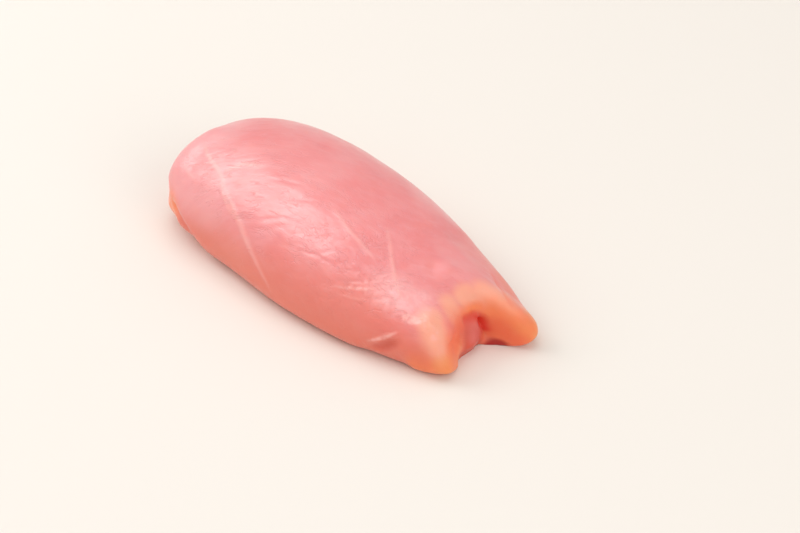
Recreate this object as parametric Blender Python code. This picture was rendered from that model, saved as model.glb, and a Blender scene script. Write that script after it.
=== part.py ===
"""A boneless, skinless chicken thigh, folded round on itself and lying on the fold.

The outer muscle makes one long smooth crown. At the front it ends in two blunt heels of meat
with a shallow mouth between them, where a tongue of inner muscle shows.
Frame: +X runs along the thigh to the heels, +Y to the side of the longer heel, +Z up.
The origin is on the board, under the middle of the thigh's own box.
"""

import math
from collections import namedtuple

import bmesh
import bpy
import numpy as np
from mathutils import Matrix

MM = 0.001

# The crown before its front is shaped: an egg with a blunt back, narrowing towards the front.
CROWN_LENGTH = 131 * MM
BACK_FULLNESS = 3.8
FRONT_FULLNESS = 2.8
SHOULDER_FULLNESS = 2.25
BELLY_FULLNESS = 3.0
PRESSED_FLAT = 3.0 * MM

# Sections at even steps from the back to the front: the middle's drift to the side, half the
# width, the height of the top, and the height at which the section is widest.
STEPS = (0.0, 0.25, 0.5, 0.75, 1.0)
DRIFT = (-3.0 * MM, -0.1 * MM, -1.0 * MM, -1.8 * MM, 0.5 * MM)
HALF_WIDTH = (29.6 * MM, 29.6 * MM, 30 * MM, 26.6 * MM, 24 * MM)
TOP = (31.3 * MM, 31.3 * MM, 29.5 * MM, 23 * MM, 13 * MM)
WIDEST_AT = (9.5 * MM, 9.5 * MM, 8.5 * MM, 7 * MM, 5 * MM)

# The front end seen from above: how far forward the meat reaches at each place across it.
ACROSS = (
    -24 * MM, -17 * MM, -12 * MM, -7 * MM, -2 * MM,
    2.5 * MM, 5.5 * MM, 9 * MM, 13 * MM, 18 * MM,
)
REACHES = (
    118 * MM, 121.5 * MM, 120 * MM, 116.5 * MM, 115.5 * MM,
    116 * MM, 119 * MM, 126.5 * MM, 130 * MM, 131 * MM,
)
FRONT_LEAN = 0.2
LIP_ROUND = 2.0 * MM

# A touch moves the meat near a path by a push that fades out over its reach. A soft touch has a
# round fade, and a crease a pointed one. Paths, reaches and pushes are in millimetres.
Touch = namedtuple("Touch", "path reach push fade")
SOFT = 2.0
CREASE = 1.0

# Touches on the front face. Their paths give how far across and how high, and their push is forwards.
TONGUE = Touch(((2.5, 0), (-1.5, 5)), 5.5, 2.3, SOFT)
HOOD = Touch(((-7, 12), (3, 12.5)), 4.5, 1.4, SOFT)
TONGUE_CREASE = Touch(((6.4, 0), (5.2, 3), (3.4, 6), (0.5, 8)), 3.2, -4.6, CREASE)
HOOD_CREASE = Touch(((0.5, 8), (-4.5, 7.5), (-7, 4)), 3.0, -1.8, CREASE)
ON_THE_FACE = (TONGUE, HOOD, TONGUE_CREASE, HOOD_CREASE)

# Touches from above. Their paths give the place along and across, and they leave the board side alone.
OUTER_SADDLE = Touch(((90, -12), (108, -7)), 13, (0, 0, -0.8), SOFT)
INNER_RIDGE = Touch(((104, 2), (118, 9), (126, 12)), 7, (0, -0.2, 1.2), SOFT)
INNER_FURROW = Touch(((95, 17), (112, 17), (123, 18)), 8, (0, -0.6, -0.9), SOFT)
FROM_ABOVE = (OUTER_SADDLE, INNER_RIDGE, INNER_FURROW)
FIRM_BELOW = 6 * MM

# Touches anywhere round the thigh. Their paths give the place along, across and up.
HEEL_GAP = Touch(((113, 6, 0), (121.5, 7, 0)), 3.4, (0, 0, 2.4), SOFT)
INNER_TIP = Touch(((122, 13, 0), (124, 14, 4)), 9, (2.2, 0.3, 0), SOFT)
OUTER_HEEL = Touch(((110, -16, 11), (118, -17, 5)), 6, (0.6, -0.4, 0.8), SOFT)
OUTER_TIP = Touch(((112, -18, 0), (118, -17, 3)), 7, (0.8, -0.9, 0), SOFT)
OUTER_WAIST = Touch(((98, -27, 1), (106, -26, 2)), 8, (0, 1.2, 0), SOFT)
BACK_WAIST = Touch(((10, -23, 1), (20, -26, 1)), 9, (0, 2.2, 0), SOFT)
BACK_TUCK = Touch(((5, -22, 2), (7, -23.5, 6)), 6, (-0.3, -0.3, 0), SOFT)
BACK_FOLD = Touch(((5, -22.5, 16), (12, -26.5, 13.5), (18.5, -28.4, 9), (22, -28, 5)), 4, (1.1, 1.3, 0), CREASE)
ALL_ROUND = (
    HEEL_GAP, INNER_TIP, OUTER_HEEL, OUTER_TIP, OUTER_WAIST, BACK_WAIST, BACK_TUCK, BACK_FOLD,
)

# The long fold underneath, where the two sides of the thigh meet.
UNDER_FOLD = Touch(((112, 1, 0), (70, 3, 0), (22, -2, 0)), 5, (0, 0, 3.2), CREASE)

# The rings lie closer together towards the ends, where the form is finer.
RINGS = 72
SEGMENTS = 72
PACKED_TO_ENDS = 1.5
PROFILE_STEPS = 4001
QUARTER_TURN = math.pi / 2


def curve_through(places, values, at):
    """A smooth curve through the values, read at each of these places."""
    places = np.asarray(places)
    values = np.asarray(values)
    slopes = np.gradient(values, places)
    at = np.clip(at, places[0], places[-1])
    span = np.clip(np.searchsorted(places, at, side="right") - 1, 0, len(places) - 2)
    width = places[span + 1] - places[span]
    s = (at - places[span]) / width
    rise = s * s * (3 - 2 * s)
    start = values[span] + width * slopes[span] * s * (1 - s) ** 2
    end = (values[span + 1] - values[span]) * rise
    return start + end - width * slopes[span + 1] * s * s * (1 - s)


def rounded(value, fullness):
    """A sine or cosine bent from a circle's towards a squarer curve's."""
    return np.sign(value) * np.abs(value) ** (2 / fullness)


def ring_places(from_pole, fullness):
    """How far out towards a pole each ring lies and how wide it is, at even steps along the profile."""
    turn = np.linspace(0, QUARTER_TURN, PROFILE_STEPS)
    out = rounded(np.cos(turn), fullness)
    wide = rounded(np.sin(turn), fullness)
    steps = np.hypot(np.diff(out) * CROWN_LENGTH / 2, np.diff(wide) * max(HALF_WIDTH))
    run = np.concatenate([[0], np.cumsum(steps)])
    wanted = run[-1] * from_pole ** PACKED_TO_ENDS
    return np.interp(wanted, run, out), np.interp(wanted, run, wide)


def strength_near(places, touch):
    """One on the touch's path, fading to nothing at its reach."""
    nearest = np.full(len(places), np.inf)
    for start, end in zip(touch.path, touch.path[1:]):
        start = np.array(start) * MM
        run = np.array(end) * MM - start
        share = np.clip((places - start) @ run / (run @ run), 0, 1)
        gap = np.linalg.norm(places - start - share[:, None] * run, axis=1)
        nearest = np.minimum(nearest, gap)
    gap = np.minimum(nearest / (touch.reach * MM), 1)
    return (1 - gap ** touch.fade) ** 2


def crown(ball):
    """Carries the points of a unit ball, its poles along X, to the uncut crown."""
    girth = np.hypot(ball[:, 1], ball[:, 2])
    side = ball[:, 1] / np.maximum(girth, 1e-9)
    up = ball[:, 2] / np.maximum(girth, 1e-9)
    from_pole = np.arctan2(girth, np.abs(ball[:, 0])) / QUARTER_TURN
    to_front, front_swell = ring_places(from_pole, FRONT_FULLNESS)
    to_back, back_swell = ring_places(from_pole, BACK_FULLNESS)
    in_front = ball[:, 0] > 0
    along = np.where(in_front, 1 + to_front, 1 - to_back) / 2
    swell = np.where(in_front, front_swell, back_swell)
    corner = np.where(up > 0, SHOULDER_FULLNESS, BELLY_FULLNESS)
    middle = curve_through(STEPS, WIDEST_AT, along)
    above = curve_through(STEPS, TOP, along) - middle
    below = middle + PRESSED_FLAT
    y = curve_through(STEPS, DRIFT, along)
    y = y + curve_through(STEPS, HALF_WIDTH, along) * swell * rounded(side, corner)
    z = middle + np.where(up > 0, above, below) * swell * rounded(up, corner)
    return np.stack([along * CROWN_LENGTH, y, z], axis=1)


def shape_front(points):
    """Draws what lies beyond the front face back to it, with a rounded lip all round."""
    height = np.maximum(points[:, 2], 0)
    face = curve_through(ACROSS, REACHES, points[:, 1]) - FRONT_LEAN * height
    on_face = np.stack([points[:, 1], height], axis=1)
    for touch in ON_THE_FACE:
        face = face + strength_near(on_face, touch) * touch.push * MM
    beyond = (points[:, 0] - face) / LIP_ROUND
    shaped = points.copy()
    shaped[:, 0] = face - LIP_ROUND * np.logaddexp(0, -beyond)
    return shaped


def thigh_points(ball):
    points = shape_front(crown(ball))
    for touch in FROM_ABOVE:
        strength = strength_near(points[:, :2], touch) * np.clip(points[:, 2] / FIRM_BELOW, 0, 1)
        points = points + strength[:, None] * np.array(touch.push) * MM
    for touch in ALL_ROUND:
        points = points + strength_near(points, touch)[:, None] * np.array(touch.push) * MM
    points[:, 2] = np.maximum(points[:, 2], 0)
    return points + strength_near(points, UNDER_FOLD)[:, None] * np.array(UNDER_FOLD.push) * MM


def meat_material():
    material = bpy.data.materials.new("raw_meat")
    material.use_nodes = True
    shader = material.node_tree.nodes["Principled BSDF"]
    shader.inputs["Base Color"].default_value = (0.82, 0.36, 0.34, 1)
    shader.inputs["Roughness"].default_value = 0.35
    return material


def make_thigh(collection):
    ball = bmesh.new()
    turned = Matrix.Rotation(math.radians(90), 4, "Y")
    bmesh.ops.create_uvsphere(ball, u_segments=SEGMENTS, v_segments=RINGS, radius=1, matrix=turned)
    mesh = bpy.data.meshes.new("chicken_thigh")
    ball.to_mesh(mesh)
    ball.free()
    points = np.empty(len(mesh.vertices) * 3)
    mesh.vertices.foreach_get("co", points)
    points = thigh_points(points.reshape(-1, 3))
    middle = (points.min(axis=0) + points.max(axis=0)) / 2
    points[:, :2] -= middle[:2]
    mesh.vertices.foreach_set("co", points.ravel())
    mesh.shade_smooth()
    mesh.materials.append(meat_material())
    thigh = bpy.data.objects.new("chicken_thigh", mesh)
    collection.objects.link(thigh)
    return thigh


def main():
    for old in list(bpy.data.objects):
        bpy.data.objects.remove(old)
    collection = bpy.data.collections.new("boneless_chicken_thigh")
    bpy.context.scene.collection.children.link(collection)
    make_thigh(collection)


main()
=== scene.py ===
import itertools
import math
from collections import namedtuple

import bmesh
import bpy
import numpy as np
from mathutils import Matrix, Vector


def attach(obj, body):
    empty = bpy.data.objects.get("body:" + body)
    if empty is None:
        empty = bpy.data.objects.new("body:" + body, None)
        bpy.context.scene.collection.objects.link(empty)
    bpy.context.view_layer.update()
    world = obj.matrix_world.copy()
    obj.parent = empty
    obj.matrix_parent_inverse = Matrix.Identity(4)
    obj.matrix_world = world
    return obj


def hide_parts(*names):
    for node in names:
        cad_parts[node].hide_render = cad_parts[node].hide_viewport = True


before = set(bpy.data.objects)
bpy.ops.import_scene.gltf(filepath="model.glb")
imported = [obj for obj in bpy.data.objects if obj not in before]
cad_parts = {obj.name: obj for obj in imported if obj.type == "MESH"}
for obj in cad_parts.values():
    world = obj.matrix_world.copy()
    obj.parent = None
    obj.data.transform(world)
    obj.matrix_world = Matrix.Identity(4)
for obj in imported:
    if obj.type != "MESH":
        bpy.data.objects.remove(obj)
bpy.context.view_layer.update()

MM = 0.001
QUARTER_TURN = math.pi / 2

# So small that it changes nothing, for a division that mustn't meet a zero.
TINY = 1e-9

# The crown before its front is shaped: an egg with a blunt back, narrowing towards the front. A
# fullness of 2 gives a round outline, and more gives a squarer one. The belly would reach this far
# below the ground if the weight of the meat didn't press it flat.
CROWN_LENGTH = 131 * MM
BACK_FULLNESS = 3.8
FRONT_FULLNESS = 2.8
SHOULDER_FULLNESS = 2.25
BELLY_FULLNESS = 3.0
PRESSED_FLAT = 3.0 * MM

# Sections at even steps from the back to the front: the middle's drift to the side, half the
# width, the height of the top, and the height at which the section is widest.
STEPS = (0.0, 0.25, 0.5, 0.75, 1.0)
DRIFT = (-3.0 * MM, -0.1 * MM, -1.0 * MM, -1.8 * MM, 0.5 * MM)
HALF_WIDTH = (29.6 * MM, 29.6 * MM, 30 * MM, 26.6 * MM, 24 * MM)
TOP = (31.3 * MM, 31.3 * MM, 29.5 * MM, 23 * MM, 13 * MM)
WIDEST_AT = (9.5 * MM, 9.5 * MM, 8.5 * MM, 7 * MM, 5 * MM)

# The front end seen from above: how far forward the meat reaches at each place across it. The
# front face leans back by this share of its height, and its lip is rounded by this much.
ACROSS = (
    -24 * MM, -17 * MM, -12 * MM, -7 * MM, -2 * MM,
    2 * MM, 5 * MM, 9 * MM, 13 * MM, 18 * MM,
)
REACHES = (
    118 * MM, 121.5 * MM, 120 * MM, 117.2 * MM, 116.3 * MM,
    116.5 * MM, 119.5 * MM, 127 * MM, 130 * MM, 131 * MM,
)
FRONT_LEAN = 0.2
LIP_ROUND = 2.0 * MM

# A touch moves the meat near a path by a push that fades out over its reach. A soft touch has a
# round fade, and a crease a pointed one. Paths, reaches and pushes are in millimetres, in the
# frame in which the thigh was drawn, which starts at its back end.
Touch = namedtuple("Touch", "path reach push fade")
SOFT = 2.0
CREASE = 1.0

# Touches on the front face. Their paths give how far across and how high, and their push is forwards.
TONGUE = Touch(((-2.5, 3.5), (-1, 8)), 6.5, 1.6, SOFT)
TONGUE_SIDE = Touch(((-8.5, 6.5), (-8, 10)), 4.5, 0.9, SOFT)
TONGUE_UNDER = Touch(((-8, 0), (-0.5, 0)), 3.5, -1.1, SOFT)
TONGUE_CREASE = Touch(((3.5, 2.8), (3.2, 5), (2.7, 7), (2.4, 8)), 2.5, -1.9, CREASE)
TONGUE_TOP = Touch(((2.4, 8), (1.9, 9.6), (0, 11), (-3, 11.4)), 2.2, -0.7, SOFT)
HEEL_GAP = Touch(((3.9, 0), (5.0, 0.6)), 2.6, 0.6, SOFT)
HEEL_CREASE = Touch(((-9.8, 0), (-9.3, 2)), 2.4, -0.4, SOFT)
HEEL_FOLD = Touch(((-14.5, 10.2), (-12.5, 10.6), (-10.5, 11.6)), 1.6, -0.4, CREASE)
ON_THE_FACE = (
    TONGUE, TONGUE_SIDE, TONGUE_UNDER, TONGUE_CREASE,
    TONGUE_TOP, HEEL_GAP, HEEL_CREASE, HEEL_FOLD,
)

# Touches from above. Their paths give the place along and across, and low down, where the meat is
# firm, they fade out towards the ground.
OUTER_SADDLE = Touch(((90, -12), (108, -7)), 13, (0, 0, -0.8), SOFT)
INNER_RIDGE = Touch(((104, 2), (118, 9), (126, 12)), 7, (0, -0.2, 1.2), SOFT)
INNER_FURROW = Touch(((95, 17), (112, 17), (123, 18)), 8, (0, -0.6, -0.9), SOFT)
FROM_ABOVE = (OUTER_SADDLE, INNER_RIDGE, INNER_FURROW)
FIRM_BELOW = 6 * MM

# Touches anywhere round the thigh. Their paths give the place along, across and up.
INNER_TIP = Touch(((122, 13, 0), (124, 14, 4)), 9, (2.2, 0.3, 0), SOFT)
OUTER_HEEL = Touch(((110, -16, 11), (118, -17, 5)), 6, (0.6, -0.4, 0.8), SOFT)
HEEL_RIDGE = Touch(
    ((110.5, -14.3, 15.5), (114, -16, 13.3), (116.7, -17.7, 11),
     (118.8, -18.8, 7.5), (119.7, -19.4, 4.5)),
    3.2, (0.5, -0.25, 0.45), SOFT,
)
OUTER_TIP = Touch(((112, -18, 0), (118, -17, 3)), 7, (0.8, -0.9, 0), SOFT)
OUTER_WAIST = Touch(((98, -27, 1), (106, -26, 2)), 8, (0, 1.2, 0), SOFT)
BACK_WAIST = Touch(((10, -23, 1), (20, -26, 1)), 9, (0, 2.2, 0), SOFT)
BACK_FOLD = Touch(
    ((12, -26.5, 12), (15.5, -27.5, 10), (18.5, -28.4, 8), (21, -28, 4.5)),
    3.6, (0.9, 1.2, 0), CREASE,
)
BACK_SHOULDER = Touch(((7.6, -20, 21), (5.8, -15, 23.5), (7, -5, 26)), 8, (-0.6, -0.35, 0.8), SOFT)
BACK_HOLLOW = Touch(((5, -23, 11), (10, -25.5, 8)), 6.5, (0.9, 0.8, 0), SOFT)
ALL_ROUND = (
    INNER_TIP, OUTER_HEEL, HEEL_RIDGE, OUTER_TIP, OUTER_WAIST,
    BACK_WAIST, BACK_FOLD, BACK_SHOULDER, BACK_HOLLOW,
)

# The long fold underneath, where the two sides of the thigh meet.
UNDER_FOLD = Touch(((112, 1, 0), (70, 3, 0), (22, -2, 0)), 5, (0, 0, 3.2), CREASE)

# The mesh of the thigh, before each of its faces is cut in four. Its rings lie a little closer
# together towards the ends, and are placed along a profile that is measured in many small steps.
RINGS = 150
SEGMENTS = 150
PACKED_TO_ENDS = 1.2
PROFILE_STEPS = 4001

# The low relief. Its touches push the surface in or out, whichever way it faces. They thin out
# towards both ends of their paths, to this share of their reach, with blunt tips.
TIP_SHARE = 0.55
TIP_AT = 0.02
TIP_BLUNTNESS = 0.5

# Lines of sinew under the surface. Each is a low ridge with a pale colour.
LONG_SINEW = Touch(
    ((30.6, -21.5, 25.1), (34, -23.2, 23.9), (38, -24.7, 22.5), (43.2, -26.6, 20.5),
     (48, -28.6, 17.6), (52.8, -29.9, 14.5), (58.2, -30.8, 10.4), (60.3, -30.9, 7.5)),
    1.5, 0.24, SOFT,
)
SHORT_SINEW = Touch(
    ((26.5, -19.7, 26.2), (30.4, -22.6, 24.4), (35.5, -24.9, 22.4), (41, -26.4, 20.7)),
    0.9, 0.14, SOFT,
)
RIM_SINEW = Touch(
    ((4.5, -6, 24.3), (9, -10, 26), (15, -14.5, 27), (19.4, -16.4, 27),
     (23.3, -17.7, 26.9), (27.5, -19.4, 26.4), (30.6, -21.5, 25.1)),
    1.1, 0.06, SOFT,
)
MIDDLE_SINEW = Touch(
    ((65, -8.8, 29.1), (69.5, -10.4, 28.4), (73.8, -11.6, 27.4),
     (79, -12.4, 26.1), (83.9, -12.9, 24.6), (87.4, -13.4, 23.4)),
    1.0, 0.14, SOFT,
)
FRONT_SINEW = Touch(
    ((80, -1.9, 27), (84.4, -4.9, 25.7), (89.4, -9, 23.6),
     (93.7, -12.3, 21.8), (98.2, -15.2, 19.8), (101.2, -16.5, 18.5)),
    1.0, 0.16, SOFT,
)
FAR_SINEW = Touch(
    ((34, 20.3, 26), (42, 24.3, 23), (50, 26.9, 19.5), (57, 28.5, 15), (62, 29.2, 10.5)),
    1.1, 0.2, SOFT,
)
BACK_SINEW = Touch(((25.8, -17.8, 27.1), (29.4, -12.7, 29.3), (35.4, -9.3, 30.2)), 1.7, 0.07, SOFT)
LOW_SINEW = Touch(
    ((81.4, -26.2, 18.2), (85.6, -24.5, 18.8), (91, -21.6, 19.4), (94.7, -17.4, 20.2)),
    0.8, 0.13, SOFT,
)
SINEWS = (
    LONG_SINEW, SHORT_SINEW, RIM_SINEW, BACK_SINEW,
    MIDDLE_SINEW, FRONT_SINEW, LOW_SINEW, FAR_SINEW,
)

# Thin raised folds of the film over the muscle: three at the back rim, and two low in front.
FILM_FOLDS = (
    Touch(((11.5, -23.5, 19.5), (9.8, -20, 22), (9.5, -15.5, 24.2), (11.5, -11, 26)), 1.1, 0.12, SOFT),
    Touch(((15.5, -23.5, 20.8), (12, -22.8, 19.5), (9, -22.5, 17)), 1.2, 0.1, SOFT),
    Touch(((19.5, -23.2, 23), (15, -22, 22.8), (11, -19.8, 23)), 1.0, 0.06, SOFT),
    Touch(((84.6, -26.5, 17.1), (89, -25, 17.2), (93.2, -23.4, 17.5)), 0.7, 0.1, SOFT),
    Touch(((84.4, -23.4, 20.1), (89.1, -21, 20.2), (92.5, -16.9, 21)), 0.6, 0.08, SOFT),
)

# The longer wrinkles of the skin over the muscle.
LONG_WRINKLES = (
    Touch(((41, -12.5, 29.5), (46, -10.3, 30), (51.6, -8.4, 30.2)), 0.9, -0.1, SOFT),
    Touch(
        ((47.5, -15.3, 28.6), (52.7, -14.5, 28.7), (56.5, -12.3, 29.1), (61, -9.2, 29.5)),
        0.9, -0.1, SOFT,
    ),
    Touch(
        ((45.5, -24.2, 23.3), (50.1, -22.8, 24.6), (55.8, -19.9, 26.4), (59.1, -16.4, 27.8)),
        0.9, -0.12, SOFT,
    ),
    Touch(
        ((62.3, -25.3, 22.3), (71.3, -23.3, 23), (80.8, -21.9, 22.1), (85.3, -21.3, 21.3)),
        0.8, -0.09, SOFT,
    ),
    Touch(((81.9, -24.6, 19.8), (86.2, -22.3, 20.5), (93.1, -15.9, 21.1)), 0.8, -0.09, SOFT),
)

# The pale edge of the skin at the root of the outer heel, and the hollow under that edge.
SKIN_EDGE = Touch(
    ((96.5, -27.5, 6.5), (99.5, -26.6, 8.3), (102.3, -25.4, 10), (104.3, -24.2, 11.5), (106, -22.6, 12.8)),
    1.0, 0.3, SOFT,
)
UNDER_EDGE = Touch(
    ((98, -26.3, 4.5), (102, -25.8, 6.5), (104.5, -25, 8.5), (107, -23.5, 10)),
    3.0, -0.7, SOFT,
)

# The seam along the inner heel, and the one on the far side, where one muscle lies against the next.
INNER_SEAM = Touch(
    ((106, 15.2, 14.6), (111.6, 12.6, 14.6), (117.6, 10, 14.6), (121.5, 8.9, 12.7)),
    2.0, -0.3, CREASE,
)
FAR_SEAM = Touch(
    ((14, 22.8, 17), (30, 27.5, 16.5), (50, 28.8, 15), (72, 27.7, 13), (94, 23.7, 11)),
    2.6, -0.55, CREASE,
)
LINES_OF_RELIEF = SINEWS + FILM_FOLDS + LONG_WRINKLES + (SKIN_EDGE, UNDER_EDGE, INNER_SEAM, FAR_SEAM)

# Which way the skin's folds run: how steeply they cross the thigh at three places along it.
FOLD_PLACES = (15 * MM, 60 * MM, 95 * MM)
FOLD_SLOPES = (0.75, 0.12, 0.55)
FOLD_STEPS = 200

# Smooth noise drawn out along the skin's folds: how long and wide its lumps are, and its seed. It
# makes the wrinkles and their sway, the ragged white skin and the broad swells. The two heights are
# in millimetres, and the whole relief fades out close to the ground.
Waves = namedtuple("Waves", "long wide seed")
LUMP_GRID = 32
SWAY = Waves(7 * MM, 6 * MM, 7)
SWAY_WIDTH = 2.5 * MM
WRINKLES = Waves(8.5 * MM, 3.6 * MM, 3)
WRINKLE_THINNESS = 0.09
RAGGED_SKIN = Waves(3.5 * MM, 2.2 * MM, 5)
RAGGED_SKIN_HEIGHT = 0.5
SWELLS = Waves(26 * MM, 13 * MM, 11)
SWELL_HEIGHT = 0.2
SMOOTH_BELOW = 2 * MM

# Where the thin skin over the muscle is gathered into fine wrinkles, and how deep they are in
# millimetres. Low in front, the push of the second touch is added to their depth.
WRINKLED = Touch(
    ((26, -17, 26.7), (46.7, -19.9, 26.5), (66.6, -20, 25.5), (84, -19, 22.5), (104, -15, 18.5)),
    25, 1.0, SOFT,
)
LEAST_WRINKLED = 0.35
WRINKLE_DEPTH = 0.08
LOW_WRINKLED = Touch(((76, -26.5, 18), (90, -23.5, 17), (101, -18, 17.5)), 12, 0.1, SOFT)

# Touches of colour move nothing, and their push is the strength of the colour on their path. These
# are the fat at the two heels, over the mouth, at the heels' tips and in the tuck at the back.
FATTY = (
    Touch(((117, 5, 8.5), (122, 9, 6.5), (126, 14, 2)), 10.5, 1.0, SOFT),
    Touch(((118, -12, 6), (119.5, -15, 3), (118, -19, 0)), 9, 1.0, SOFT),
    Touch(((113.5, -22.5, 3), (117, -21.5, 3.5), (120, -18, 0)), 8, 1.0, SOFT),
    Touch(((109, -7, 13.2), (112, -3, 12.8), (114, 3, 12.3)), 4, 0.85, SOFT),
)
TIP_FAT = (
    Touch(((124, 12, 6), (127, 14, 3)), 7, 1.0, SOFT),
    Touch(((119, -18, 6), (119.5, -17, 2.5)), 4.2, 1.0, SOFT),
)
TUCKED_FAT = Touch(((5, -22, 7), (8.5, -24.7, 9), (11, -25.8, 11.5)), 7, 1.0, SOFT)

# The crests over the mouth, where the fat is thin and pale, and paler still with painted highlight
# where the crests catch the light.
THIN_FAT_AND_CREST_SHEEN = (
    Touch(((111.5, -0.5, 17), (113.5, 1.5, 15), (113.8, 4.5, 16)), 6.6, 1.0, SOFT),
    Touch(((114, 5, 16), (120, 9, 12)), 8, 1.0, SOFT),
    Touch(((110, -6, 16.6), (113.6, -7, 14.6)), 5.5, 0.9, SOFT),
    Touch(((110.5, -14.3, 15.5), (116.7, -17.7, 11), (118.9, -18.7, 8)), 7, 1.0, SOFT),
)

# The paler film in front, partly painted wet highlight, the painted reflection on the back rim,
# the white skin at the outer heel, and painted shade on the lower near side.
FRONT_FILM_AND_SHEEN = Touch(((97, -17.5, 19.7), (101, -16.5, 18.7), (104.5, -13.5, 18.2)), 8.5, 1.0, SOFT)
# Painted reflection of the bright room, paler along the back rim.
RIM_REFLECTION = (
    Touch(((5, -10, 24), (9, -19.6, 22), (14, -24, 18), (28, -26, 20)), 11, 1.0, SOFT),
    Touch(((9, 2, 27), (13, -8, 28)), 9, 1.0, SOFT),
)
WHITE_SKIN = (
    Touch(((105.8, -19.1, 15.6), (108.4, -17.9, 15.3)), 2.2, 1.0, SOFT),
    Touch(((110.6, -16.5, 15.5), (114.1, -16.3, 14.4), (115, -17, 12.5)), 2.6, 0.45, SOFT),
)
# Painted shade on the lower near side.
SHADED_SIDE = (
    Touch(((62, -29, 13), (80, -27.5, 14.5), (96, -22.5, 16)), 14, 1.0, SOFT),
    Touch(((28, -29, 8), (55, -30, 9)), 14, 1.0, SOFT),
)
# Painted shade in the furrow along the inner heel and low on the outer heel's flank.
SHADED_FLANKS = (
    Touch(((108, 17.8, 12), (114, 15.5, 11.5), (120, 12, 12)), 4.5, 1.0, SOFT),
    Touch(((107, -23.5, 8.5), (114, -21.5, 7)), 6, 1.0, SOFT),
)

# Colour in the mouth, in places across and up the front face. It starts this far along the thigh.
# The heels' slopes into the mouth are darker red, partly the meat's own colour and partly painted shade.
HEEL_SLOPES = (
    Touch(((-12.2, 8.5), (-10, 10.5), (-7, 11.6)), 5.5, 1.0, SOFT),
    Touch(((4.8, 7), (6.2, 4.5), (8.5, 1.8)), 4.5, 1.0, SOFT),
)
# Darker red round the tongue, partly its own colour and partly painted shade in the recess.
TONGUE_ROOM = Touch(((-3, 2), (-1, 6.5)), 8, 1.0, SOFT)
TONGUE_CROWN = Touch(((-1.2, 5.5), (-0.6, 8)), 5, 1.0, SOFT)
# Painted shade in the crease and under the hood over the tongue.
CREASE_SHADE = Touch(((3.2, 5), (2.7, 7), (2.4, 8)), 2.5, 1.0, CREASE)
TOP_SHADE = TONGUE_TOP._replace(push=1.0)
GAP_SHADE = HEEL_GAP._replace(push=1.0)
MOUTH_START = 106 * MM
MOUTH_FADE = 4 * MM

# What the mesh tells the finish: the lines, the patches and the parts of the mouth, by name.
KEPT_LINES = {
    "sinew": SINEWS,
    "film_fold": FILM_FOLDS,
    "long_wrinkle": LONG_WRINKLES,
    "skin_edge": (SKIN_EDGE,),
    "under_edge": (UNDER_EDGE,),
    "inner_seam": (INNER_SEAM,),
}
KEPT_PATCHES = {
    "fat": FATTY,
    "tip_fat": TIP_FAT,
    "tucked_fat": (TUCKED_FAT,),
    "thin_fat_and_crest_sheen": THIN_FAT_AND_CREST_SHEEN,
    "front_film_and_sheen": (FRONT_FILM_AND_SHEEN,),
    "rim_reflection": RIM_REFLECTION,
    "white_skin": WHITE_SKIN,
    "shaded_side": SHADED_SIDE,
    "shaded_flanks": SHADED_FLANKS,
}
KEPT_IN_MOUTH = {
    "heel_slope": HEEL_SLOPES,
    "tongue_room": (TONGUE_ROOM,),
    "tongue_crown": (TONGUE_CROWN,),
    "tongue_top": (TOP_SHADE,),
    "crease": (CREASE_SHADE,),
    "heel_gap": (GAP_SHADE,),
}

# Colours of the meat, and of its painted shade, shadow and highlight, in linear light.
PINK = (0.83, 0.29, 0.285, 1)
DEEP_PINK = (0.81, 0.235, 0.23, 1)
# Pale pink for mottling and streaks, and for painted highlight and painted reflection.
PALE_PINK_AND_SHEEN = (0.87, 0.395, 0.395, 1)
# Partly the pale film's own colour and partly painted wet highlight.
FILM_AND_SHEEN_PINK = (0.95, 0.46, 0.45, 1)
# Darker pink for blotches, and for painted shade in the wrinkles.
BLOTCH_AND_CREASE_SHADE_PINK = (0.70, 0.17, 0.18, 1)
FAT = (0.91, 0.22, 0.07, 1)
# Pale fat, partly painted highlight on the crests.
PALE_FAT_AND_SHEEN = (0.93, 0.395, 0.265, 1)
YELLOW_FAT = (0.83, 0.29, 0.08, 1)
# Painted shade, darker and warmer, low down and on the sides.
SHADED_PINK = (0.79, 0.175, 0.105, 1)
SLOPE_RED = (0.85, 0.14, 0.055, 1)
WHITE_SINEW = (0.96, 0.50, 0.44, 1)
TONGUE_PINK = (0.71, 0.155, 0.13, 1)
# Red of the tongue, partly its own and partly painted shade, and painted shadow under the skin's edge.
TONGUE_AND_SHADOW_RED = (0.64, 0.075, 0.035, 1)
# Painted shade in the crease and under the hood.
CREASE_SHADE_RED = (0.73, 0.035, 0.014, 1)
# Painted shadow, nearly black, in the gap under the inner heel.
GAP_SHADOW_RED = (0.42, 0.01, 0.004, 1)

# Patterns in the finish: the size of their lumps, or how long and wide these are along the skin's
# folds, how much finer detail there is, and the noise from which they start and at which they are full.
Pattern = namedtuple("Pattern", "size detail start full")
BLUSH = Pattern(18 * MM, 2, 0.35, 0.65)
STREAKS = Pattern((9 * MM, 3.5 * MM), 3, 0.45, 0.75)
MOTTLE = Pattern((6 * MM, 2.5 * MM), 3, 0.4, 0.7)
BLOTCHES = Pattern((11 * MM, 4 * MM), 2, 0.55, 0.75)
PATCHES = Pattern(5 * MM, 1, 0.42, 0.6)
UNEVEN = Pattern(6 * MM, 3, 0, 1)
RAGGED = Pattern(2.6 * MM, 4, 0.35, 0.7)
WETNESS = Pattern(6 * MM, 3, 0.3, 0.7)

# How much of a pattern's colour is laid on.
STREAK_SHARE = 0.35
MOTTLE_SHARE = 0.14
BLOTCH_SHARE = 0.18

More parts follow.
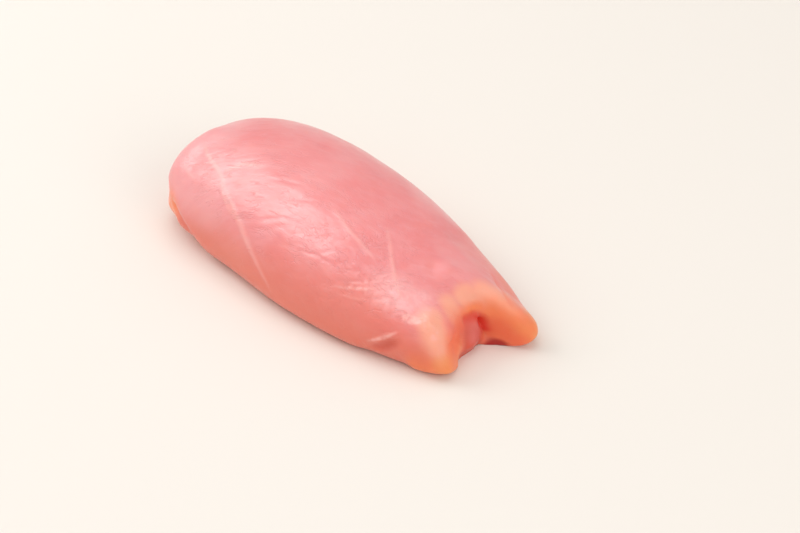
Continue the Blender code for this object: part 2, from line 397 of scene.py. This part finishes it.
# The fine wrinkles sink in where a noise crosses one level, along dark lines of painted shade,
# each with a pale lip of painted highlight where it crosses another. A line is given by its level
# and its width, and is fainter between the patches.
FINE_WRINKLE_SIZE = (6 * MM, 1.9 * MM)
FINE_WRINKLE_DETAIL = 1
FINE_WRINKLE_WANDER = 1.5
DARK_LINE = (0.5, 0.045)
LIP_HIGHLIGHT = (0.56, 0.05)
BETWEEN_PATCHES = 0.15
FINE_WRINKLE_SHARE = 0.6
WRINKLE_SHADE_SHARE = 0.33
LIP_HIGHLIGHT_SHARE = 0.3

# The lower meat is darker and warmer, with painted shade and painted warm bounce light near the
# ground, from nothing at the first height to this share at the second.
SHADED_BELOW = 22 * MM
MOST_SHADED_BELOW = 2 * MM
MOST_SHADED = 0.95

# A tint laid over the meat: what says where, how much of its colour is laid on, and how strong the
# touch is where that is reached. With no such strength the tint grows evenly with the touch.
Tint = namedtuple("Tint", "where share colour full_at", defaults=(None,))
# Painted shade on the lower near side, and a painted reflection on the back rim.
SIDE_TINTS = (
    Tint("shaded_side", 0.45, SHADED_PINK),
    Tint("rim_reflection", 0.65, PALE_PINK_AND_SHEEN),
)

# The fat, which is uneven by this much either way, and the rest of the tints at the two ends.
UNEVEN_BY = 0.15
FAT_TINTS = (
    # Pale fat on the crests, partly painted highlight.
    Tint("thin_fat_and_crest_sheen", 0.9, PALE_FAT_AND_SHEEN, full_at=0.9),
    Tint("fat", 0.9, FAT, full_at=0.9),
)
END_TINTS = (
    Tint("tip_fat", 0.75, YELLOW_FAT),
    Tint("tucked_fat", 0.95, FAT),
    # Painted shade on the flanks.
    Tint("shaded_flanks", 0.6, SHADED_PINK),
    Tint("inner_seam", 0.45, SLOPE_RED),
)

# The ragged pale film in front, partly painted wet highlight, which is nowhere thinner than this,
# and the tints in and by the mouth.
FILM_AND_SHEEN_SHARE = 0.95
LEAST_FILM_AND_SHEEN = 0.55
MOUTH_TINTS = (
    # Painted shadow under the skin's edge.
    Tint("under_edge", 0.85, TONGUE_AND_SHADOW_RED),
    # Darker red on the heels' slopes and round the tongue, partly the meat's own colour and partly painted
    # shade.
    Tint("heel_slope", 0.75, SLOPE_RED),
    Tint("tongue_room", 0.9, TONGUE_AND_SHADOW_RED, full_at=0.8),
    Tint("tongue_crown", 0.9, TONGUE_PINK),
    # Painted shade under the hood and in the crease.
    Tint("tongue_top", 0.6, CREASE_SHADE_RED),
    Tint("crease", 1, CREASE_SHADE_RED, full_at=0.7),
    # Painted shadow in the gap under the inner heel.
    Tint("heel_gap", 0.97, GAP_SHADOW_RED, full_at=0.8),
)

# The white of the sinews, the film's folds, the skin's edge and the ragged skin at the outer heel.
SINEW_SHARE = 0.5
FILM_FOLD_SHARE = 0.3
LEAST_SKIN_EDGE = 0.4
WHITE_SKIN_FULL_AT = 0.7
WHITE_SKIN_SHARE = 1.3
WHITE_SHARE = 0.75

# The wet surface: how rough it is where it is wettest and driest, the grain of the muscle, and how
# far the grain and the fine wrinkles stand out, as shares of a millimetre.
WETTEST = 0.34
DRIEST = 0.48
GRAIN_SIZE = (3 * MM, 0.8 * MM)
GRAIN_DETAIL = 3
GRAIN_HEIGHT = 0.06
FINE_WRINKLE_HEIGHT = -0.17
BUMP_DISTANCE = 1 * MM
BUMP_STRENGTH = 0.6
WET_MEAT = {
    "Subsurface Weight": 0.35,
    "Subsurface Radius": (1.0, 0.35, 0.25),
    "Subsurface Scale": 4 * MM,
    "IOR": 1.4,
    "Sheen Weight": 0.12,
    "Sheen Tint": (1, 0.9, 0.94, 1),
    "Coat Weight": 0.25,
    "Coat Roughness": 0.25,
}

# The sockets that a Mix node of colours uses.
MIX_FACTOR = 0
MIX_FIRST = 6
MIX_SECOND = 7
MIXED = 2

# The camera's view, as in the photograph: its angles, its distance from the point that it is
# aimed by, where that point lies in the picture, and how near and how far it sees.
VIEW_TURN = math.radians(45)
VIEW_RISE = math.radians(37)
DISTANCE = 1.0
FOCAL_PIXELS = 3289
SENSOR = 36
PICTURE = (800, 533)
AIMED_AT = Vector((66 * MM, 0, 0))
AIMED_IN_PICTURE = (358.4, 274.8)
SEEN_FROM = 0.05
SEEN_TO = 20

# A light: its place to the right, away from the camera and up, the size of its square, and its
# power. One that doesn't shine leaves no gloss, and one that doesn't light gives only gloss.
Light = namedtuple("Light", "place size watts shines lights", defaults=(True, True))
LIGHTS = {
    "left_light": Light((-0.8, 0.3, 0.65), 0.6, 4, shines=False),
    "top_light": Light((-0.1, 0.2, 1.1), 0.9, 3),
    "front_light": Light((0.6, -0.8, 0.6), 0.8, 4, shines=False),
    "shine": Light((-0.52, 0.37, 0.79), 0.72, 11.5, lights=False),
}
ROOM_COLOUR = (1, 1, 1, 1)
ROOM_LIGHT = 0.62
FLOOR_REACH = 3.0
FLOOR_COLOUR = (0.85, 0.79, 0.72, 1)
FLOOR_ROUGHNESS = 0.8


def curve_through(places, values, at):
    """A smooth curve through the values, read at each of these places."""
    places = np.asarray(places)
    values = np.asarray(values)
    slopes = np.gradient(values, places)
    at = np.clip(at, places[0], places[-1])
    span = np.clip(np.searchsorted(places, at, side="right") - 1, 0, len(places) - 2)
    width = places[span + 1] - places[span]
    s = (at - places[span]) / width
    rise = s * s * (3 - 2 * s)
    start = values[span] + width * slopes[span] * s * (1 - s) ** 2
    end = (values[span + 1] - values[span]) * rise
    return start + end - width * slopes[span + 1] * s * s * (1 - s)


def rounded(value, fullness):
    """A sine or cosine bent from a circle's towards a squarer curve's."""
    return np.sign(value) * np.abs(value) ** (2 / fullness)


def ring_places(from_pole, fullness):
    """How far out towards a pole each ring lies and how wide it is, at even steps along the profile."""
    turn = np.linspace(0, QUARTER_TURN, PROFILE_STEPS)
    out = rounded(np.cos(turn), fullness)
    wide = rounded(np.sin(turn), fullness)
    steps = np.hypot(np.diff(out) * CROWN_LENGTH / 2, np.diff(wide) * max(HALF_WIDTH))
    run = np.concatenate([[0], np.cumsum(steps)])
    wanted = run[-1] * from_pole ** PACKED_TO_ENDS
    return np.interp(wanted, run, out), np.interp(wanted, run, wide)


def nearest_on(places, path):
    """How far each place is from a path, and how far along the path it is nearest to, up to one."""
    nearest = np.full(len(places), np.inf)
    passed = np.zeros(len(places))
    for step, (start, end) in enumerate(zip(path, path[1:])):
        start = np.array(start) * MM
        run = np.array(end) * MM - start
        share = np.clip((places - start) @ run / (run @ run), 0, 1)
        gap = np.linalg.norm(places - start - share[:, None] * run, axis=1)
        passed = np.where(gap < nearest, (step + share) / (len(path) - 1), passed)
        nearest = np.minimum(nearest, gap)
    return nearest, passed


def strength_near(places, touch):
    """One on the touch's path, fading to nothing at its reach."""
    gap = np.minimum(nearest_on(places, touch.path)[0] / (touch.reach * MM), 1)
    return (1 - gap ** touch.fade) ** 2


def tapered_near(places, touch):
    """As strength_near, and thinning out towards both ends of the path."""
    nearest, passed = nearest_on(places, touch.path)
    reach = touch.reach * MM * (TIP_SHARE + (1 - TIP_SHARE) * np.sin(math.pi * passed))
    strength = (1 - np.minimum(nearest / reach, 1) ** touch.fade) ** 2
    return strength * np.sin(math.pi * np.clip(passed, TIP_AT, 1 - TIP_AT)) ** TIP_BLUNTNESS


def strongest(places, touches):
    """The strongest of some touches of colour at each place."""
    return np.max([strength_near(places, touch) * touch.push for touch in touches], axis=0)


def strongest_line(places, lines):
    """One on the middle of any of these lines, and less towards its sides and ends."""
    return np.max([tapered_near(places, line) for line in lines], axis=0)


def on_face(points):
    """How far across and how high each point is."""
    return np.stack([points[:, 1], np.maximum(points[:, 2], 0)], axis=1)


def strongest_in_mouth(points, touches):
    """The strongest of some touches on the front face, and nothing behind the mouth."""
    forward = np.clip((points[:, 0] - MOUTH_START) / MOUTH_FADE, 0, 1)
    return strongest(on_face(points), touches) * forward


def crown(ball):
    """Carries the points of a unit ball, its poles along X, to the uncut crown."""
    girth = np.hypot(ball[:, 1], ball[:, 2])
    side = ball[:, 1] / np.maximum(girth, TINY)
    up = ball[:, 2] / np.maximum(girth, TINY)
    from_pole = np.arctan2(girth, np.abs(ball[:, 0])) / QUARTER_TURN
    to_front, front_swell = ring_places(from_pole, FRONT_FULLNESS)
    to_back, back_swell = ring_places(from_pole, BACK_FULLNESS)
    in_front = ball[:, 0] > 0
    along = np.where(in_front, 1 + to_front, 1 - to_back) / 2
    swell = np.where(in_front, front_swell, back_swell)
    corner = np.where(up > 0, SHOULDER_FULLNESS, BELLY_FULLNESS)
    middle = curve_through(STEPS, WIDEST_AT, along)
    above = curve_through(STEPS, TOP, along) - middle
    below = middle + PRESSED_FLAT
    y = curve_through(STEPS, DRIFT, along)
    y = y + curve_through(STEPS, HALF_WIDTH, along) * swell * rounded(side, corner)
    z = middle + np.where(up > 0, above, below) * swell * rounded(up, corner)
    return np.stack([along * CROWN_LENGTH, y, z], axis=1)


def shape_front(points):
    """Draws what lies beyond the front face back to it, with a rounded lip all round."""
    across_and_up = on_face(points)
    face = curve_through(ACROSS, REACHES, points[:, 1]) - FRONT_LEAN * across_and_up[:, 1]
    for touch in ON_THE_FACE:
        face = face + strength_near(across_and_up, touch) * touch.push * MM
    beyond = (points[:, 0] - face) / LIP_ROUND
    shaped = points.copy()
    shaped[:, 0] = face - LIP_ROUND * np.logaddexp(0, -beyond)
    return shaped


def thigh_points(ball):
    """Carries the points of a unit ball to the whole form, flat underneath but for its long fold."""
    points = shape_front(crown(ball))
    for touch in FROM_ABOVE:
        strength = strength_near(points[:, :2], touch) * np.clip(points[:, 2] / FIRM_BELOW, 0, 1)
        points = points + strength[:, None] * np.array(touch.push) * MM
    for touch in ALL_ROUND:
        points = points + strength_near(points, touch)[:, None] * np.array(touch.push) * MM
    points[:, 2] = np.maximum(points[:, 2], 0)
    return points + strength_near(points, UNDER_FOLD)[:, None] * np.array(UNDER_FOLD.push) * MM


def lumps(places, seed):
    """Smooth noise between about minus and plus a half, with lumps of size one.

    Each corner of a grid slopes its own way, and the corners' slopes are eased into one another.
    """
    gradients = np.random.default_rng(seed).normal(size=(LUMP_GRID, LUMP_GRID, LUMP_GRID, 3))
    gradients = gradients / np.linalg.norm(gradients, axis=-1, keepdims=True)
    cell = np.floor(places).astype(int)
    inside = places - cell
    ease = inside ** 3 * (inside * (inside * 6 - 15) + 10)
    total = np.zeros(len(places))
    for corner in itertools.product((0, 1), repeat=3):
        gradient = gradients[tuple(((cell + corner) % LUMP_GRID).T)]
        weight = np.prod(np.where(corner, ease, 1 - ease), axis=1)
        total = total + weight * np.sum(gradient * (inside - corner), axis=1)
    return total


def flow(points):
    """Places along and across the folds of the skin, as if it were spread out flat.

    The folds cross the thigh near its back, run along it in the middle and cross it again in front.
    """
    from_top = curve_through(STEPS, TOP, points[:, 0] / CROWN_LENGTH) - points[:, 2]
    around = np.where(points[:, 1] < 0, -1, 1) * np.hypot(points[:, 1], np.maximum(from_top, 0))
    steps = np.linspace(0, CROWN_LENGTH, FOLD_STEPS)
    slopes = curve_through(FOLD_PLACES, FOLD_SLOPES, steps)
    slope = np.interp(points[:, 0], steps, slopes)
    drift = np.interp(points[:, 0], steps, np.cumsum(slopes) * CROWN_LENGTH / (FOLD_STEPS - 1))
    across = (around - drift) / np.hypot(1, slope)
    along = points[:, 0] * np.hypot(1, slope)
    return np.stack([along, across, np.zeros(len(points))], axis=1)


def noise_along(spread, waves):
    """Smooth noise drawn out along the folds of the skin."""
    return lumps(spread / np.array([waves.long, waves.wide, 1]), waves.seed)


def wrinkles_at(points):
    """How strongly the skin is gathered into fine wrinkles at each point."""
    return LEAST_WRINKLED + (1 - LEAST_WRINKLED) * strength_near(points, WRINKLED)


def relief(points):
    """How far the surface stands proud of the plain form at each point."""
    height = np.zeros(len(points))
    for line in LINES_OF_RELIEF:
        height = height + tapered_near(points, line) * line.push * MM
    spread = flow(points)
    sway = noise_along(spread, SWAY)[:, None] * np.array([0, SWAY_WIDTH, 0])
    fold = noise_along(spread + sway, WRINKLES)
    creases = np.exp(-(fold / WRINKLE_THINNESS) ** 2)
    depth = wrinkles_at(points) * WRINKLE_DEPTH + strongest(points, (LOW_WRINKLED,))
    height = height - creases * depth * MM
    ragged = noise_along(spread, RAGGED_SKIN) * strongest(points, WHITE_SKIN)
    height = height + ragged * RAGGED_SKIN_HEIGHT * MM
    height = height + noise_along(spread, SWELLS) * SWELL_HEIGHT * MM
    return height * np.clip(points[:, 2] / SMOOTH_BELOW, 0, 1)


def keep(mesh, name, values):
    """Keeps a value for each point of the mesh, for the finish to read by this name."""
    attribute = mesh.attributes.new(name, "FLOAT", "POINT")
    attribute.data.foreach_set("value", values.astype(np.float32))


def keep_touches(mesh, points):
    """Keeps what the finish reads: how strong each line and touch of colour is, and the folds' flow."""
    for name, lines in KEPT_LINES.items():
        keep(mesh, name, strongest_line(points, lines))
    for name, touches in KEPT_PATCHES.items():
        keep(mesh, name, strongest(points, touches))
    for name, touches in KEPT_IN_MOUTH.items():
        keep(mesh, name, strongest_in_mouth(points, touches))
    keep(mesh, "wrinkled", wrinkles_at(points))
    spread = mesh.attributes.new("flow", "FLOAT_VECTOR", "POINT")
    spread.data.foreach_set("vector", flow(points).astype(np.float32).ravel())


def make_thigh():
    """The dressed thigh, and where the middle of its footprint lies in the frame it was drawn in."""
    ball = bmesh.new()
    turned = Matrix.Rotation(QUARTER_TURN, 4, "Y")
    bmesh.ops.create_uvsphere(ball, u_segments=SEGMENTS, v_segments=RINGS, radius=1, matrix=turned)
    bmesh.ops.subdivide_edges(ball, edges=ball.edges, cuts=1, use_grid_fill=True)
    mesh = bpy.data.meshes.new("thigh_meat")
    ball.to_mesh(mesh)
    ball.free()
    points = np.empty(len(mesh.vertices) * 3)
    mesh.vertices.foreach_get("co", points)
    drawn = thigh_points(points.reshape(-1, 3))
    drawn_middle = (drawn.min(axis=0) + drawn.max(axis=0)) / 2
    drawn_middle[2] = 0
    mesh.vertices.foreach_set("co", drawn.ravel())
    mesh.update()
    normals = np.empty(len(mesh.vertices) * 3)
    mesh.vertex_normals.foreach_get("vector", normals)
    placed = drawn + normals.reshape(-1, 3) * relief(drawn)[:, None] - drawn_middle
    placed[:, 2] = np.maximum(placed[:, 2], 0)
    mesh.vertices.foreach_set("co", placed.ravel())
    keep_touches(mesh, drawn)
    mesh.shade_smooth()
    mesh.update()
    thigh = bpy.data.objects.new("thigh_meat", mesh)
    bpy.context.scene.collection.objects.link(thigh)
    return thigh, Vector(drawn_middle)


class Finish:
    """One material, and short ways to add nodes to it."""

    def __init__(self, name):
        self.material = bpy.data.materials.new(name)
        self.material.use_nodes = True
        self.tree = self.material.node_tree
        self.shader = self.tree.nodes["Principled BSDF"]
        self.place = self.add("ShaderNodeTexCoord").outputs["Object"]

    def add(self, kind, inputs=None, **settings):
        """A new node, with its inputs set or joined to other nodes."""
        node = self.tree.nodes.new(kind)
        for name, value in settings.items():
            setattr(node, name, value)
        for socket, value in (inputs or {}).items():
            self.set(node.inputs[socket], value)
        return node

    def set(self, socket, value):
        if isinstance(value, bpy.types.NodeSocket):
            self.tree.links.new(value, socket)
        else:
            socket.default_value = value

    def attribute(self, name):
        return self.add("ShaderNodeAttribute", attribute_name=name).outputs["Fac"]

    def noise(self, size, detail, **inputs):
        """Noise with lumps of this size, or of this length and width along the skin's folds."""
        if isinstance(size, tuple):
            spread = self.add("ShaderNodeAttribute", attribute_name="flow").outputs["Vector"]
            shrunk = {"Vector": spread, "Scale": (1 / size[0], 1 / size[1], 1)}
            wanted = {"Vector": self.add("ShaderNodeMapping", shrunk).outputs[0], "Scale": 1}
        else:
            wanted = {"Vector": self.place, "Scale": 1 / size}
        return self.add("ShaderNodeTexNoise", {**wanted, "Detail": detail, **inputs}).outputs["Fac"]

    def math(self, operation, *values):
        return self.add("ShaderNodeMath", dict(enumerate(values)), operation=operation).outputs[0]

    def times(self, first, second):
        return self.math("MULTIPLY", first, second)

    def remap(self, value, low, high, to_low=0.0, to_high=1.0):
        wanted = {"Value": value, "From Min": low, "From Max": high, "To Min": to_low, "To Max": to_high}
        return self.add("ShaderNodeMapRange", wanted, interpolation_type="SMOOTHSTEP").outputs[0]

    def pattern(self, pattern, to_low=0.0, to_high=1.0):
        """A pattern that goes from one value where it starts to another where it is full."""
        noise = self.noise(pattern.size, pattern.detail)
        return self.remap(noise, pattern.start, pattern.full, to_low, to_high)

    def line_at(self, value, level, width):
        """One where the value is at this level, and nothing where it is further away than the width."""
        gap = self.math("ABSOLUTE", self.math("SUBTRACT", value, level))
        return self.remap(gap, 0, width, 1, 0)

    def mix(self, factor, first, second):
        wanted = {MIX_FACTOR: factor, MIX_FIRST: first, MIX_SECOND: second}
        return self.add("ShaderNodeMix", wanted, data_type="RGBA").outputs[MIXED]

    def tinted(self, colour, tint, uneven=None):
        """The colour with a tint laid over it, which is patchy where something uneven is given."""
        strength = self.attribute(tint.where)
        if uneven:
            strength = self.math("ADD", strength, uneven)
        if tint.full_at:
            amount = self.remap(strength, 0, tint.full_at, 0, tint.share)
        else:
            amount = self.times(strength, tint.share)
        return self.mix(amount, colour, tint.colour)


def muscle_colour(meat):
    """The pink of the muscle, with its streaks and blotches along the skin's folds."""
    colour = meat.mix(meat.pattern(BLUSH), DEEP_PINK, PINK)
    veil = meat.times(meat.pattern(STREAKS), meat.attribute("wrinkled"))
    colour = meat.mix(meat.times(veil, STREAK_SHARE), colour, PALE_PINK_AND_SHEEN)
    colour = meat.mix(meat.pattern(MOTTLE, 0, MOTTLE_SHARE), colour, PALE_PINK_AND_SHEEN)
    return meat.mix(meat.pattern(BLOTCHES, 0, BLOTCH_SHARE), colour, BLOTCH_AND_CREASE_SHADE_PINK)


def fine_wrinkles(meat):
    """Where the fine wrinkles sink in along dark lines of painted shade, and their pale lips of painted
    highlight.
    """
    folds = meat.noise(FINE_WRINKLE_SIZE, FINE_WRINKLE_DETAIL, Distortion=FINE_WRINKLE_WANDER)
    gathered = meat.times(meat.pattern(PATCHES, BETWEEN_PATCHES, 1), meat.attribute("wrinkled"))
    crease = meat.times(meat.line_at(folds, *DARK_LINE), gathered)
    lip = meat.times(meat.line_at(folds, *LIP_HIGHLIGHT), gathered)
    return crease, lip


def whitened(meat, ragged):
    """Where the sinews, the film's folds, the skin's edge and the ragged skin are white."""
    skin = meat.remap(meat.attribute("white_skin"), 0, WHITE_SKIN_FULL_AT, 0, WHITE_SKIN_SHARE)
    edge = meat.times(meat.attribute("skin_edge"), meat.remap(ragged, 0, 1, LEAST_SKIN_EDGE, 1))
    white = meat.math("MAXIMUM", meat.times(meat.attribute("sinew"), SINEW_SHARE), meat.times(skin, ragged))
    white = meat.math("MAXIMUM", white, meat.times(meat.attribute("film_fold"), FILM_FOLD_SHARE))
    return meat.math("MAXIMUM", white, edge)


def tinted_meat(meat, colour):
    """The colour with everything laid over the muscle, from the painted shade low down and on the sides to
    the white sinews.
    """
    # Painted shade and painted warm bounce light, darker and warmer towards the ground.
    height = meat.add("ShaderNodeSeparateXYZ", {"Vector": meat.place}).outputs["Z"]
    colour = meat.mix(meat.remap(height, SHADED_BELOW, MOST_SHADED_BELOW, 0, MOST_SHADED), colour, SHADED_PINK)
    for tint in SIDE_TINTS:
        colour = meat.tinted(colour, tint)
    uneven = meat.pattern(UNEVEN, -UNEVEN_BY, UNEVEN_BY)
    for tint in FAT_TINTS:
        colour = meat.tinted(colour, tint, uneven)
    for tint in END_TINTS:
        colour = meat.tinted(colour, tint)
    ragged = meat.pattern(RAGGED)
    # The ragged pale film in front, partly painted wet highlight.
    film = meat.times(meat.attribute("front_film_and_sheen"), meat.remap(ragged, 0, 1, LEAST_FILM_AND_SHEEN, 1))
    colour = meat.mix(meat.times(film, FILM_AND_SHEEN_SHARE), colour, FILM_AND_SHEEN_PINK)
    for tint in MOUTH_TINTS:
        colour = meat.tinted(colour, tint)
    white = meat.times(whitened(meat, ragged), WHITE_SHARE)
    return meat.mix(white, colour, WHITE_SINEW)


def meat_finish():
    """Raw meat under a thin wet film."""
    meat = Finish("wet_raw_meat")
    crease, lip = fine_wrinkles(meat)
    # Painted shade darkens the fine and the long wrinkles, and painted highlight lightens the fine
    # wrinkles' lips.
    wrinkle_shade = meat.math("MAXIMUM", meat.times(crease, FINE_WRINKLE_SHARE), meat.attribute("long_wrinkle"))
    colour = meat.mix(meat.times(wrinkle_shade, WRINKLE_SHADE_SHARE), muscle_colour(meat), BLOTCH_AND_CREASE_SHADE_PINK)
    colour = meat.mix(meat.times(lip, LIP_HIGHLIGHT_SHARE), colour, PALE_PINK_AND_SHEEN)
    meat.set(meat.shader.inputs["Base Color"], tinted_meat(meat, colour))
    meat.set(meat.shader.inputs["Roughness"], meat.pattern(WETNESS, WETTEST, DRIEST))
    grain = meat.times(meat.noise(GRAIN_SIZE, GRAIN_DETAIL), GRAIN_HEIGHT)
    height = meat.math("MULTIPLY_ADD", crease, FINE_WRINKLE_HEIGHT, grain)
    bumps = {"Height": height, "Distance": BUMP_DISTANCE, "Strength": BUMP_STRENGTH}
    meat.set(meat.shader.inputs["Normal"], meat.add("ShaderNodeBump", bumps).outputs[0])
    for socket, value in WET_MEAT.items():
        meat.set(meat.shader.inputs[socket], value)
    return meat.material


def view_axes():
    """The directions to the right, up and back towards the camera, as it sees them."""
    level = math.cos(VIEW_RISE)
    back = Vector((math.sin(VIEW_TURN) * level, -math.cos(VIEW_TURN) * level, math.sin(VIEW_RISE)))
    right = Vector((math.cos(VIEW_TURN), math.sin(VIEW_TURN), 0))
    return right, back.cross(right), back


def make_camera(drawn_middle):
    right, up, back = view_axes()
    across = (AIMED_IN_PICTURE[0] - PICTURE[0] / 2) / FOCAL_PIXELS * DISTANCE
    down = (AIMED_IN_PICTURE[1] - PICTURE[1] / 2) / FOCAL_PIXELS * DISTANCE
    camera = bpy.data.objects.new("camera", bpy.data.cameras.new("camera"))
    camera.data.sensor_width = SENSOR
    camera.data.lens = FOCAL_PIXELS * SENSOR / PICTURE[0]
    camera.data.clip_start = SEEN_FROM
    camera.data.clip_end = SEEN_TO
    camera.location = AIMED_AT - drawn_middle + back * DISTANCE - right * across + up * down
    camera.rotation_mode = "QUATERNION"
    camera.rotation_quaternion = Matrix((right, up, back)).transposed().to_quaternion()
    bpy.context.scene.collection.objects.link(camera)
    bpy.context.scene.camera = camera


def make_light(name, wanted):
    """A square of soft light that faces the thigh."""
    right, _, back = view_axes()
    away = Vector((-back.x, -back.y, 0)).normalized()
    light = bpy.data.objects.new(name, bpy.data.lights.new(name, "AREA"))
    light.data.size = wanted.size
    light.data.energy = wanted.watts
    light.location = right * wanted.place[0] + away * wanted.place[1] + Vector((0, 0, wanted.place[2]))
    light.rotation_mode = "QUATERNION"
    light.rotation_quaternion = light.location.to_track_quat("Z", "Y")
    light.visible_glossy = wanted.shines
    light.visible_diffuse = wanted.lights
    light.visible_transmission = wanted.lights
    bpy.context.scene.collection.objects.link(light)


def make_floor():
    sheet = bmesh.new()
    bmesh.ops.create_grid(sheet, x_segments=1, y_segments=1, size=FLOOR_REACH)
    mesh = bpy.data.meshes.new("floor")
    sheet.to_mesh(mesh)
    sheet.free()
    floor = bpy.data.objects.new("floor", mesh)
    bpy.context.scene.collection.objects.link(floor)
    covering = Finish("pale_floor")
    covering.set(covering.shader.inputs["Base Color"], FLOOR_COLOUR)
    covering.set(covering.shader.inputs["Roughness"], FLOOR_ROUGHNESS)
    mesh.materials.append(covering.material)


def make_studio():
    """The floor, the even light of the room, and the lights."""
    make_floor()
    world = bpy.data.worlds.new("studio")
    world.use_nodes = True
    world.node_tree.nodes["Background"].inputs["Color"].default_value = ROOM_COLOUR
    world.node_tree.nodes["Background"].inputs["Strength"].default_value = ROOM_LIGHT
    bpy.context.scene.world = world
    for name, wanted in LIGHTS.items():
        make_light(name, wanted)
    bpy.context.scene.view_settings.view_transform = "Standard"


def main():
    thigh, drawn_middle = make_thigh()
    thigh.data.materials.append(meat_finish())
    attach(thigh, "root")
    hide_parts("chicken_thigh")
    make_camera(drawn_middle)
    make_studio()


main()
